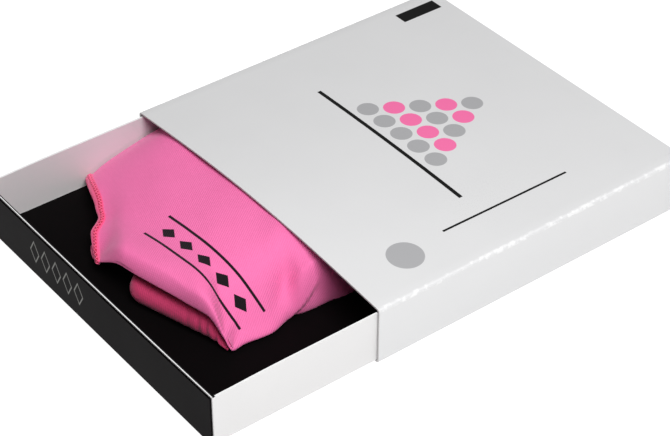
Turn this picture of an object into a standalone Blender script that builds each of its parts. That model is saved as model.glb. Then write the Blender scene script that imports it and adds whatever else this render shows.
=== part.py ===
"""A stretch-cloth cue glove lying in its slide-out card box.

The box is a flat open-ended sleeve with a shallow tray drawn part of the way out of it. The glove lies on
the tray's black floor card: its wrist hem at the open corner, its thumb folded under the palm, and its two
finger stalls turned under at the back of the tray.

Frame: metres, +Z up. X runs across the box, and +Y runs into the sleeve. The origin is at the middle of the
whole box's footprint, on the surface that the sleeve stands on.
"""

import math

import bmesh
import bpy
from mathutils import Vector

# Clearances between pieces.
FIT_GAP = 0.0003
REST_GAP = 0.00025

# Sleeve.
SLEEVE_WIDTH = 0.160
SLEEVE_LENGTH = 0.1575
SLEEVE_HEIGHT = 0.0261
SLEEVE_CARD = 0.0008
SLEEVE_FOLD_RADIUS = 0.0014
SLEEVE_BOW = 0.0043
SLEEVE_BOW_FULLNESS = 1.25
SLEEVE_BOW_FADE = 1.5

# Tray and the cards on it.
PULL_OUT = 0.075
TRAY_LENGTH = 0.157
TRAY_HEIGHT = 0.0238
TRAY_CARD = 0.0009
PANEL_CARD = 0.0007
FLOOR_CARD = 0.0004
FLOOR_CARD_SIDE_GAP = 0.0005

# Glove: its spread across the tray, its run along it and its height over the floor card.
CLOTH = 0.0012
GLOVE_WIDTH = 0.1252
GLOVE_LENGTH = 0.120
GLOVE_FRONT_SPACE = 0.0168
GLOVE_HEIGHT = 0.0260
GLOVE_EDGE_ROUND = 0.0026
GLOVE_LEAST_HOLLOW = 0.0003
LAYER_BLEND = 0.0020
HEM_LENGTH = 0.0034
HEM_THICKER = 0.0004

# The nick in the hem, and the sharp fold that climbs the palm's thumb side from the floor.
NICK_DEPTH = 0.0014
NICK_PLACE_SHARE = 0.66
NICK_REACH_SHARE = 0.13
NICK_SECTIONS = 2
CREASE_DEPTH = 0.0009
CREASE_WIDTH = 0.0030
CREASE_DROP = 0.0180
CREASE_FADE = 0.0060
CREASE_SIDE_SHARE = 0.80
CREASE_SIDE_RUN_SHARE = 0.125
CREASE_START_SHARE = -0.12
CREASE_STOP_SHARE = 1.30
CREASE_END_RUN_SHARE = 0.30

# Thumb stall, folded under the palm, and how the palm's lower layer falls off it.
THUMB_HEIGHT = 0.0100
THUMB_SQUEEZE_SHARE = 0.70
THUMB_SQUEEZE_START_SHARE = 0.80
THUMB_SQUEEZE_RUN_SHARE = 0.18
THUMB_NOSE = 0.0050
THUMB_END_ROUND = 0.0040
THUMB_CORNER = 0.0050
THUMB_LEAST_HALF_HOLLOW = 0.00015
OVERHANG = 0.0024
DRAPE_LEAD = 0.0020
END_FALL = 0.0240
BACK_FALL = 0.0110
TIP_LEAD = -0.0015
TIP_FALL = 0.0035

# Finger stalls, turned under at the back.
STALL_WIDTH = 0.0250
STALL_DEPTH = 0.0046
STALL_FOLD_GAP = 0.0010
STALL_END_ROUND = 0.0020
STALL_TAIL_SPACE = 0.0012

# Places that follow from the sizes above.
BOX_LENGTH = PULL_OUT + SLEEVE_LENGTH
TRAY_FRONT = -BOX_LENGTH / 2
MOUTH = TRAY_FRONT + PULL_OUT
TRAY_HALF = SLEEVE_WIDTH / 2 - SLEEVE_CARD - FIT_GAP
TRAY_BASE = SLEEVE_CARD + FIT_GAP
WALL_FRONT = TRAY_FRONT + PANEL_CARD + FIT_GAP
WALL_BACK = TRAY_FRONT + TRAY_LENGTH
FLOOR_TOP = TRAY_BASE + TRAY_CARD + REST_GAP + FLOOR_CARD
REST = FLOOR_TOP + REST_GAP
GLOVE_LEFT = -TRAY_HALF + TRAY_CARD + FIT_GAP
GLOVE_FRONT = WALL_FRONT + TRAY_CARD + GLOVE_FRONT_SPACE

# The glove's sections, from the wrist hem to the knuckles. Each section runs from the little-finger side,
# left_x and left_y, to the thumb side, right_x and right_y: x is a share of GLOVE_WIDTH from the tray's left
# wall, and y one of GLOVE_LENGTH from the front of the hem. top_0 to top_5 are the upper layer's heights at
# six stations across the section, closer together at its ends, as shares of GLOVE_HEIGHT. push_1 to push_3
# move the three quarter points towards the fingers, as shares of GLOVE_LENGTH.
SECTION_COLUMNS = ("left_x", "left_y", "right_x", "right_y",
                   "top_0", "top_1", "top_2", "top_3", "top_4", "top_5", "push_1", "push_2", "push_3")
SECTIONS = (
    (0.000, 0.222, 0.388, -0.004, 0.15, 0.25, 0.33, 0.33, 0.26, 0.12, 0.007, 0.020, 0.014),
    (0.000, 0.292, 0.464, 0.024, 0.28, 0.38, 0.45, 0.45, 0.39, 0.29, 0.005, 0.012, 0.006),
    (0.000, 0.367, 0.562, 0.024, 0.38, 0.51, 0.59, 0.59, 0.57, 0.53, 0.002, 0.004, 0.001),
    (0.000, 0.437, 0.687, 0.037, 0.46, 0.64, 0.71, 0.70, 0.66, 0.62, 0.000, 0.000, 0.000),
    (0.000, 0.504, 0.801, 0.066, 0.52, 0.76, 0.82, 0.80, 0.71, 0.62, 0.000, 0.000, 0.000),
    (0.000, 0.587, 0.906, 0.100, 0.55, 0.86, 0.90, 0.87, 0.74, 0.52, 0.000, 0.000, 0.000),
    (0.001, 0.630, 0.976, 0.100, 0.55, 0.88, 0.92, 0.91, 0.66, 0.14, 0.000, 0.000, 0.000),
    (0.003, 0.675, 0.976, 0.175, 0.54, 0.88, 0.93, 0.95, 0.72, 0.12, 0.000, 0.000, 0.000),
    (0.013, 0.746, 0.983, 0.268, 0.52, 0.87, 0.94, 0.98, 0.80, 0.12, 0.000, 0.000, 0.000),
    (0.038, 0.805, 0.953, 0.360, 0.50, 0.85, 0.94, 0.99, 0.88, 0.20, 0.000, 0.000, 0.000),
    (0.065, 0.850, 0.967, 0.412, 0.48, 0.83, 0.94, 0.99, 0.95, 0.58, 0.000, 0.000, 0.000),
    (0.100, 0.892, 0.972, 0.480, 0.46, 0.80, 0.92, 0.98, 0.97, 0.88, 0.000, 0.000, 0.000),
    (0.164, 0.946, 0.970, 0.640, 0.42, 0.70, 0.82, 0.90, 0.90, 0.84, 0.000, 0.000, 0.000),
    (0.253, 0.996, 0.964, 0.827, 0.36, 0.48, 0.54, 0.55, 0.52, 0.45, 0.000, 0.000, 0.000),
)
STATION_CROWDING = 0.5
SECTION_STEPS = 2
ACROSS_STEPS = 18
ARC_STEPS = 3
SLEEVE_STEPS = 8
HEM_STEPS = 3

# The crease's foot and head: y as a share of GLOVE_LENGTH as above, and the height as one of GLOVE_HEIGHT.
CREASE_FOOT = (0.366, 0.03)
CREASE_HEAD = (0.463, 0.47)

# The folded thumb's corners in plan, as shares of GLOVE_WIDTH and GLOVE_LENGTH measured as in the sections
# above: the front edge runs from its round end to the fold's tip, and the back edge lies under the palm.
THUMB_END = (0.590, -0.006)
THUMB_TIP = (0.970, 0.101)
THUMB_BACK_END = (0.458, 0.152)
THUMB_BACK_TIP = (0.880, 0.270)
THUMB_FIRST_RING_SHARE = 0.025
THUMB_NOSE_CROWDING = 1.6
THUMB_NOSE_STEPS = 4
THUMB_RUN_STEPS = 4
STALL_RUN_STEPS = 3
TURN_STEPS = 8

# Where the finger stalls leave the knuckle edge, as shares of it from the little-finger side.
MIDDLE_PLACE_SHARE = 0.545
INDEX_PLACE_SHARE = 0.850

COLLECTION = "glove_in_slide_box"


def finish(name, colour, roughness, metallic=0.0):
    """A plain surface finish for one piece."""
    material = bpy.data.materials.new(name)
    material.use_nodes = True
    shader = material.node_tree.nodes["Principled BSDF"]
    shader.inputs["Base Color"].default_value = (*colour, 1.0)
    shader.inputs["Roughness"].default_value = roughness
    shader.inputs["Metallic"].default_value = metallic
    return material


def place(bm, name, material, home):
    """Turns a built mesh into a named object, with its faces outward, and keeps it in the part's collection."""
    bmesh.ops.recalc_face_normals(bm, faces=bm.faces)
    mesh = bpy.data.meshes.new(name)
    bm.to_mesh(mesh)
    bm.free()
    mesh.materials.append(material)
    mesh.shade_smooth()
    mesh.set_sharp_from_angle(angle=math.radians(50))
    piece = bpy.data.objects.new(name, mesh)
    home.objects.link(piece)
    return piece


def skin_between(bm, first, second):
    """Joins two rings of vertices with a band of faces."""
    count = len(first)
    for i in range(count):
        j = (i + 1) % count
        bm.faces.new((first[i], first[j], second[j], second[i]))


def close_ring(bm, ring):
    """Closes a flattened ring with strips from its upper half to its lower half."""
    half = len(ring) // 2
    bm.faces.new((ring[0], ring[1], ring[-1]))
    for i in range(1, half - 1):
        bm.faces.new((ring[i], ring[i + 1], ring[-i - 1], ring[-i]))
    bm.faces.new((ring[half - 1], ring[half], ring[half + 1]))


def lofted_shell(outer, inner, closed_start=False):
    """A walled tube through rings of outer and inner points, with open ends or a closed start."""
    bm = bmesh.new()
    outside = [[bm.verts.new(p) for p in ring] for ring in outer]
    inside = [[bm.verts.new(p) for p in ring] for ring in inner]
    for skin in (outside, inside):
        for first, second in zip(skin, skin[1:]):
            skin_between(bm, first, second)
    skin_between(bm, outside[-1], inside[-1])
    if closed_start:
        close_ring(bm, outside[0])
        close_ring(bm, inside[0])
    else:
        skin_between(bm, outside[0], inside[0])
    return bm


def smooth_read(values, at):
    """Reads a list of numbers at a fractional place, with a smooth curve through them."""
    last = len(values) - 1
    i = min(int(at), last - 1)
    f = at - i
    a = values[max(i - 1, 0)]
    b = values[i]
    c = values[i + 1]
    d = values[min(i + 2, last)]
    slope_b = (c - a) / 2
    slope_c = (d - b) / 2
    return ((2 * f**3 - 3 * f**2 + 1) * b + (f**3 - 2 * f**2 + f) * slope_b
            + (3 * f**2 - 2 * f**3) * c + (f**3 - f**2) * slope_c)


def ease(t):
    """A smooth step from 0 to 1."""
    t = min(max(t, 0.0), 1.0)
    return t * t * (3 - 2 * t)


def slot_outline(width, end_round, inset):
    """A flattened ring's points: how far each lies across the width, and its share of the half height."""
    upper = []
    for i in range(ARC_STEPS):
        turn = math.radians(90) * i / ARC_STEPS
        upper.append((end_round - (end_round - inset) * math.cos(turn), math.sin(turn)))
    span = width - 2 * end_round
    for i in range(ACROSS_STEPS + 1):
        upper.append((end_round + span * (1 - math.cos(math.pi * i / ACROSS_STEPS)) / 2, 1.0))
    for i in range(ARC_STEPS - 1, -1, -1):
        turn = math.radians(90) * i / ARC_STEPS
        upper.append((width - end_round + (end_round - inset) * math.cos(turn), math.sin(turn)))
    lower = [(x, -share) for x, share in reversed(upper[1:-1])]
    return upper + lower


def section_value(name, at):
    """One column of the section table at a fractional section."""
    column = SECTION_COLUMNS.index(name)
    return smooth_read([row[column] for row in SECTIONS], at)


def section_ends(at):
    """The two ends of a section, in plan."""
    left = glove_place((section_value("left_x", at), section_value("left_y", at)))
    right = glove_place((section_value("right_x", at), section_value("right_y", at)))
    return left, right


def glove_place(shares):
    """A place in plan from its shares of the glove's width and length."""
    return Vector((GLOVE_LEFT + GLOVE_WIDTH * shares[0], GLOVE_FRONT + GLOVE_LENGTH * shares[1]))


def thumb_chord(back_share):
    """The folded thumb's two side edges in plan, a share of the way from its front edge to its back edge."""
    end = glove_place(THUMB_END).lerp(glove_place(THUMB_BACK_END), back_share)
    tip = glove_place(THUMB_TIP).lerp(glove_place(THUMB_BACK_TIP), back_share)
    return end, tip


def thumb_depth():
    """How far the folded thumb reaches under the palm, across its middle."""
    return (sum(thumb_chord(1.0), Vector((0.0, 0.0))) - sum(thumb_chord(0.0), Vector((0.0, 0.0)))).length / 2


def thumb_height(along_share):
    """The folded thumb's height at a share of its length: squeezed flat at the fold's tip."""
    squeezed = ease((along_share - THUMB_SQUEEZE_START_SHARE) / THUMB_SQUEEZE_RUN_SHARE)
    return THUMB_HEIGHT * (1 - THUMB_SQUEEZE_SHARE * squeezed)


def lower_layer(x, y):
    """The height of the palm's lower layer: on the floor card, and lifted where it drapes over the thumb."""
    spot = Vector((x, y))
    front_end, front_tip = thumb_chord(0.0)
    along = (front_tip - front_end).normalized()
    inward = Vector((-along.y, along.x))
    reach = (spot - front_end).dot(inward)
    end, tip = thumb_chord(min(max(reach / thumb_depth(), 0.0), 1.0))
    before = (end - spot).dot(along)
    back_end, back_tip = thumb_chord(1.0)
    back_along = (back_tip - back_end).normalized()
    behind = (spot - back_end).dot(Vector((-back_along.y, back_along.x)))
    draped = (1 - ease((before - DRAPE_LEAD) / END_FALL)) * (1 - ease((behind - DRAPE_LEAD) / BACK_FALL))
    tucked = 1 - ease(((spot - tip).dot(along) - TIP_LEAD) / TIP_FALL)
    lift = thumb_height((spot - end).dot(along) / (tip - end).length) + OVERHANG
    return REST + lift * draped * tucked


def creased(point):
    """A point of the palm after the crease: below the crease's line the thumb side is pressed in a little."""
    foot = Vector((GLOVE_FRONT + GLOVE_LENGTH * CREASE_FOOT[0], FLOOR_TOP + GLOVE_HEIGHT * CREASE_FOOT[1]))
    head = Vector((GLOVE_FRONT + GLOVE_LENGTH * CREASE_HEAD[0], FLOOR_TOP + GLOVE_HEIGHT * CREASE_HEAD[1]))
    run = (head - foot).normalized()
    spot = Vector((point.y, point.z)) - foot
    under = spot.dot(Vector((run.y, -run.x)))
    along = spot.dot(run) / (head - foot).length
    side = ease(((point.x - GLOVE_LEFT) / GLOVE_WIDTH - CREASE_SIDE_SHARE) / CREASE_SIDE_RUN_SHARE)
    step = ease(under / CREASE_WIDTH) * ease((CREASE_DROP - under) / CREASE_FADE)
    start = ease((along - CREASE_START_SHARE) / CREASE_END_RUN_SHARE)
    stop = ease((CREASE_STOP_SHARE - along) / CREASE_END_RUN_SHARE)
    return point - Vector((CREASE_DEPTH * side * step * start * stop, 0.0, 0.0))


def glove_point(at, across, share, width, inset, wall):
    """A point of the palm tube: at a section, across it, on the upper (share 1) or lower (share -1) layer."""
    left, right = section_ends(at)
    chord = (right - left).normalized()
    forward = Vector((-chord.y, chord.x))
    gone = min(max(across / width, 0.0), 1.0)
    push = smooth_read([0.0, *(section_value(f"push_{i}", at) for i in (1, 2, 3)), 0.0], gone * 4)
    nick = NICK_DEPTH * ease(1 - abs(gone - NICK_PLACE_SHARE) / NICK_REACH_SHARE) * ease(1 - at / NICK_SECTIONS)
    spot = left + chord * across + forward * (push * GLOVE_LENGTH + nick)
    low = lower_layer(spot.x, spot.y)
    station = (gone + STATION_CROWDING * math.sin(2 * math.pi * gone) / (2 * math.pi)) * 5
    top = FLOOR_TOP + GLOVE_HEIGHT * smooth_read([section_value(f"top_{i}", at) for i in range(6)], station)
    least = low + 2 * wall + GLOVE_LEAST_HOLLOW
    near = max(LAYER_BLEND - abs(top - least), 0.0)
    high = max(top, least) + near**2 / (4 * LAYER_BLEND)
    middle = (low + high) / 2
    return creased(Vector((spot.x, spot.y, middle + share * ((high - low) / 2 - inset))))


def glove_rings(places, wall):
    """The outer and the inner rings of a stretch of the palm tube, with a wall of the given thickness."""
    skins = []
    for inset in (0.0, wall):
        rings = []
        for at in places:
            left, right = section_ends(at)
            width = (right - left).length
            outline = slot_outline(width, GLOVE_EDGE_ROUND, inset)
            rings.append([glove_point(at, across, share, width, inset, wall) for across, share in outline])
        skins.append(rings)
    return skins


def section_at(distance):
    """The fractional section that lies a distance from the hem, along the tube's middle."""
    at = 0.0
    step = 0.01
    gone = 0.0
    while at < len(SECTIONS) - 1 and gone < distance:
        here = sum(section_ends(at), Vector((0.0, 0.0))) / 2
        there = sum(section_ends(at + step), Vector((0.0, 0.0))) / 2
        gone += (there - here).length
        at += step
    return at


def sleeve_ring(y, inset):
    """The sleeve's section at one place along it: a flat rectangle with folded corners and a bowed top."""
    half = SLEEVE_WIDTH / 2 - inset
    low = inset
    high = SLEEVE_HEIGHT - inset
    radius = SLEEVE_FOLD_RADIUS - inset
    gone = (y - MOUTH) / SLEEVE_LENGTH
    bow = SLEEVE_BOW * (1 - gone) ** SLEEVE_BOW_FADE
    points = []
    corners = ((-half + radius, low + radius, 270), (-half + radius, high - radius, 180),
               (half - radius, high - radius, 90), (half - radius, low + radius, 0))
    for x, z, start in corners:
        for i in range(ARC_STEPS + 1):
            turn = math.radians(start - 90 * i / ARC_STEPS)
            points.append((x + radius * math.cos(turn), z + radius * math.sin(turn)))
    ring = []
    for i, (x, z) in enumerate(points):
        ring.append(Vector((x, y, z)))
        if i == 2 * ARC_STEPS + 1:
            span = 2 * (half - radius)
            for k in range(1, ACROSS_STEPS):
                across = -half + radius + span * k / ACROSS_STEPS
                ring.append(Vector((across, y, high)))
    for point in ring:
        if point.z > SLEEVE_HEIGHT / 2:
            side = min(abs(point.x) / half, 1.0)
            point.z += bow * (1 - side**2) ** SLEEVE_BOW_FULLNESS
    return ring


def build_sleeve(home, material):
    """The outer sleeve: a card tube, open at both ends."""
    places = [MOUTH + SLEEVE_LENGTH * i / SLEEVE_STEPS for i in range(SLEEVE_STEPS + 1)]
    outer = [sleeve_ring(y, 0.0) for y in places]
    inner = [sleeve_ring(y, SLEEVE_CARD) for y in places]
    return place(lofted_shell(outer, inner), "sleeve", material, home)


def block(low, high):
    """A box between two corners."""
    bm = bmesh.new()
    bmesh.ops.create_cube(bm, size=1.0)
    low = Vector(low)
    high = Vector(high)
    for vertex in bm.verts:
        vertex.co = Vector(low[i] + (high[i] - low[i]) * (vertex.co[i] + 0.5) for i in range(3))
    return bm


def build_tray(home, material):
    """The tray: a floor and four walls of card, open at the top."""
    low = (-TRAY_HALF, WALL_FRONT, TRAY_BASE)
    high = (TRAY_HALF, WALL_BACK, TRAY_BASE + TRAY_HEIGHT)
    bm = block(low, high)
    lids = [face for face in bm.faces if face.calc_center_median().z > TRAY_BASE + TRAY_HEIGHT / 2
            and abs(face.normal.z) > 0.5]
    bmesh.ops.delete(bm, geom=lids, context="FACES")
    tray = place(bm, "tray", material, home)
    wall = tray.modifiers.new("wall", "SOLIDIFY")
    wall.thickness = TRAY_CARD
    wall.offset = -1.0
    wall.use_even_offset = True
    return tray


def build_cards(home, panel_material, floor_material):
    """The black card on the tray's front wall, and the black card on its floor."""
    panel = block((-TRAY_HALF, TRAY_FRONT, TRAY_BASE),
                  (TRAY_HALF, TRAY_FRONT + PANEL_CARD, TRAY_BASE + TRAY_HEIGHT))
    place(panel, "front_panel", panel_material, home)
    side = TRAY_CARD + FLOOR_CARD_SIDE_GAP
    floor = block((-TRAY_HALF + side, WALL_FRONT + side, FLOOR_TOP - FLOOR_CARD),
                  (TRAY_HALF - side, WALL_BACK - side, FLOOR_TOP))
    place(floor, "floor_card", floor_material, home)


def build_palm(home, material):
    """The glove's hand part: a flattened tube of cloth, open at the wrist and at the knuckles."""
    last = len(SECTIONS) - 1
    start = section_at(HEM_LENGTH + FIT_GAP)
    steps = last * SECTION_STEPS
    outer, inner = glove_rings([start + (last - start) * i / steps for i in range(steps + 1)], CLOTH)
    return place(lofted_shell(outer, inner), "glove_body", material, home)


def build_hem(home, material):
    """The stitched hem round the wrist: a band of folded cloth, thicker than the palm."""
    stop = section_at(HEM_LENGTH)
    outer, inner = glove_rings([stop * i / HEM_STEPS for i in range(HEM_STEPS + 1)], CLOTH + HEM_THICKER)
    return place(lofted_shell(outer, inner), "cuff_hem", material, home)


def thumb_ring(gone, inset):
    """A ring of the folded thumb, a distance from its front edge towards its mouth under the palm."""
    end, tip = thumb_chord(gone / thumb_depth())
    along = (tip - end).normalized()
    width = (tip - end).length
    nose = min(gone / THUMB_NOSE, 1.0)
    swell = math.sqrt(max(1 - (1 - nose) ** 2, 0.0))
    corner = THUMB_CORNER * (1 - swell)
    ring = []
    for across, share in slot_outline(width - corner, THUMB_END_ROUND, inset):
        spot = end + along * (across + corner)
        half = thumb_height((across + corner) / width) / 2
        reach = max(half * swell - inset, THUMB_LEAST_HALF_HOLLOW)
        ring.append(Vector((spot.x, spot.y, REST + half + share * reach)))
    return ring


def build_thumb(home, material):
    """The thumb stall: a flat pocket of cloth with a round front, its mouth towards the palm's side."""
    def places(first):
        nose = [first + (THUMB_NOSE - first) * (i / THUMB_NOSE_STEPS) ** THUMB_NOSE_CROWDING
                for i in range(THUMB_NOSE_STEPS)]
        run = [THUMB_NOSE + (thumb_depth() - THUMB_NOSE) * i / THUMB_RUN_STEPS
               for i in range(THUMB_RUN_STEPS + 1)]
        return nose + run

    first = THUMB_NOSE * THUMB_FIRST_RING_SHARE
    outer = [thumb_ring(gone, 0.0) for gone in places(first)]
    inner = [thumb_ring(gone, CLOTH) for gone in places(first + CLOTH)]
    return place(lofted_shell(outer, inner, closed_start=True), "thumb_stall", material, home)


def stall_rings(along_edge, inset):
    """The rings of a finger stall: out from the knuckle edge, round a fold, and back beneath itself."""
    left, right = section_ends(len(SECTIONS) - 1)
    chord = (right - left).normalized()
    forward = Vector((-chord.y, chord.x))
    start = left + (right - left) * along_edge + forward * FIT_GAP
    low = REST + STALL_DEPTH / 2
    turn_radius = (STALL_DEPTH + STALL_FOLD_GAP) / 2
    back = WALL_BACK - TRAY_CARD - FIT_GAP
    corner = STALL_WIDTH / 2 * abs(chord.y)
    run = (back - start.y - corner) / forward.y - turn_radius - STALL_DEPTH / 2
    steps = STALL_RUN_STEPS
    path = [(run * i / steps, low + 2 * turn_radius, 90) for i in range(steps)]
    for i in range(TURN_STEPS + 1):
        turn = 90 - 180 * i / TURN_STEPS
        path.append((run + turn_radius * math.cos(math.radians(turn)),
                     low + turn_radius + turn_radius * math.sin(math.radians(turn)), turn))
    path += [(run + (STALL_TAIL_SPACE - run) * i / steps, low, -90) for i in range(1, steps + 1)]
    rings = []
    for gone, height, turn in path:
        out = math.cos(math.radians(turn))
        up = math.sin(math.radians(turn))
        ring = []
        for across, share in slot_outline(STALL_WIDTH, STALL_END_ROUND, inset):
            spot = start + chord * (across - STALL_WIDTH / 2)
            reach = share * (STALL_DEPTH / 2 - inset)
            plan = spot + forward * (gone + out * reach)
            ring.append(Vector((plan.x, plan.y, height + up * reach)))
        rings.append(ring)
    return rings


def build_stall(name, along_edge, home, material):
    """A finger stall: a flattened tube of cloth, open at both ends."""
    shell = lofted_shell(stall_rings(along_edge, 0.0), stall_rings(along_edge, CLOTH))
    return place(shell, name, material, home)


def main():
    """Builds the box and the glove in it."""
    for item in list(bpy.data.objects):
        bpy.data.objects.remove(item, do_unlink=True)
    home = bpy.data.collections.new(COLLECTION)
    bpy.context.scene.collection.children.link(home)
    white = finish("white_card", (0.70, 0.70, 0.71), 0.42)
    tray_white = finish("tray_card", (0.74, 0.74, 0.75), 0.5)
    black = finish("black_card", (0.018, 0.017, 0.018), 0.38)
    matt_black = finish("matt_black_card", (0.006, 0.006, 0.006), 0.85)
    pink = finish("pink_cloth", (0.84, 0.17, 0.41), 0.8)
    hem_pink = finish("hem_cloth", (0.90, 0.10, 0.28), 0.75)
    build_sleeve(home, white)
    build_tray(home, tray_white)
    build_cards(home, black, matt_black)
    build_palm(home, pink)
    build_hem(home, hem_pink)
    build_thumb(home, pink)
    build_stall("middle_stall", MIDDLE_PLACE_SHARE, home, pink)
    build_stall("index_stall", INDEX_PLACE_SHARE, home, pink)


main()
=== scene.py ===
"""The looks of a pink stretch-cloth cue glove in its slide-out card box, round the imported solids.

Everything is in metres in the frame of the solids: X runs across the box, +Y runs into the sleeve,
and the sleeve stands on z = 0. The card pieces are folded from plain boxes, and each cloth piece is
a grid that a form draws into shape, so that its own UV map is the flat cloth in metres.
"""

from __future__ import annotations

import logging
import math
from dataclasses import dataclass
from enum import Enum
from typing import Any, Callable, ClassVar, Iterable, Sequence

import bmesh
import bpy
from mathutils import Matrix, Vector, noise


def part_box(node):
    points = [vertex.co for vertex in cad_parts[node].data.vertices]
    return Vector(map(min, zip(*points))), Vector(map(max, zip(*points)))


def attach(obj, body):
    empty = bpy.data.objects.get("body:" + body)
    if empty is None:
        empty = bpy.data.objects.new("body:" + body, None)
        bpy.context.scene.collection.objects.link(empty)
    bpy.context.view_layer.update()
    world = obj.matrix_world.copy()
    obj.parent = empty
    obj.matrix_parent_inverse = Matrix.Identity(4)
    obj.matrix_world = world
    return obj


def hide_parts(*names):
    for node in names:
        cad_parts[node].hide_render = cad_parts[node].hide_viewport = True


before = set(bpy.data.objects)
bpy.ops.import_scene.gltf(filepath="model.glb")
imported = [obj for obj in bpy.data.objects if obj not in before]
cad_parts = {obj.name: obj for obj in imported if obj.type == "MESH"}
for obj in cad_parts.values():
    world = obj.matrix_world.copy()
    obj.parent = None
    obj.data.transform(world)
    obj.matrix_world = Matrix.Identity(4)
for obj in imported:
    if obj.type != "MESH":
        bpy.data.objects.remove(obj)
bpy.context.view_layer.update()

LOG = logging.getLogger("glove_box")

Pair = tuple[float, float]
Colour = tuple[float, float, float]
Socket = bpy.types.NodeSocket

BODY = "root"
MM = 0.001
ACROSS = Vector((1.0, 0.0, 0.0))
ALONG = Vector((0.0, 1.0, 0.0))
MERGE = 0.001 * MM


def ease(t: float) -> float:
    """A smooth step from 0 to 1."""
    t = min(max(t, 0.0), 1.0)
    return t * t * (3 - 2 * t)


def bump_at(value: float, middle: float, reach: float) -> float:
    """A smooth rise to 1 at the middle that is 0 beyond the reach on either side."""
    return ease(1 - abs(value - middle) / reach)


@dataclass(frozen=True)
class Ramp:
    """A smooth rise from 0 to 1 over a stretch of some measure."""

    start: float
    run: float

    def up(self, value: float) -> float:
        """The rise at a value."""
        return ease((value - self.start) / self.run)

    def down(self, value: float) -> float:
        """What the rise leaves of 1 at a value."""
        return 1 - self.up(value)


class CardSide(Enum):
    """The material slot of a folded card's faces."""

    FACE = 0
    RAW = 1


class Motif(Enum):
    """The plain shapes that are printed on card and cloth."""

    DISC = "disc"
    BAR = "bar"
    DIAMOND = "diamond"


# ---- shader writing


class Amount:
    """A value in a shader. Arithmetic on it adds Math nodes."""

    def __init__(self, shader: Shader, socket: Socket) -> None:
        """Wraps one socket of the shader's tree."""
        self.shader = shader
        self.socket = socket

    def math(self, operation: str, *others: Amount | float, clamp: bool = False) -> Amount:
        """Adds a Math node with this value first."""
        return self.shader.math(operation, self, *others, clamp=clamp)

    def __add__(self, other: Amount | float) -> Amount:
        """This plus the other."""
        return self.math("ADD", other)

    def __radd__(self, other: float) -> Amount:
        """A number plus this."""
        return self.shader.math("ADD", other, self)

    def __sub__(self, other: Amount | float) -> Amount:
        """This minus the other."""
        return self.math("SUBTRACT", other)

    def __rsub__(self, other: float) -> Amount:
        """A number minus this."""
        return self.shader.math("SUBTRACT", other, self)

    def __mul__(self, other: Amount | float) -> Amount:
        """This times the other."""
        return self.math("MULTIPLY", other)

    def __rmul__(self, other: float) -> Amount:
        """A number times this."""
        return self.shader.math("MULTIPLY", other, self)

    def __truediv__(self, other: Amount | float) -> Amount:
        """This divided by the other."""
        return self.math("DIVIDE", other)

    def __abs__(self) -> Amount:
        """This without its sign."""
        return self.math("ABSOLUTE")

    def __mod__(self, other: float) -> Amount:
        """What is left of this after whole steps of the other, from 0 up."""
        return self.math("FLOORED_MODULO", other)

    def both(self, other: Amount) -> Amount:
        """The lesser of two masks: where both hold."""
        return self.math("MINIMUM", other)

    def either(self, other: Amount) -> Amount:
        """The greater of two masks: where either holds."""
        return self.math("MAXIMUM", other)

    def under(self, limit: float, blur: float) -> Amount:
        """A mask that is 1 where this is less than a limit."""
        return ((limit - self) / blur + 0.5).math("MULTIPLY", 1.0, clamp=True)


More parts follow.
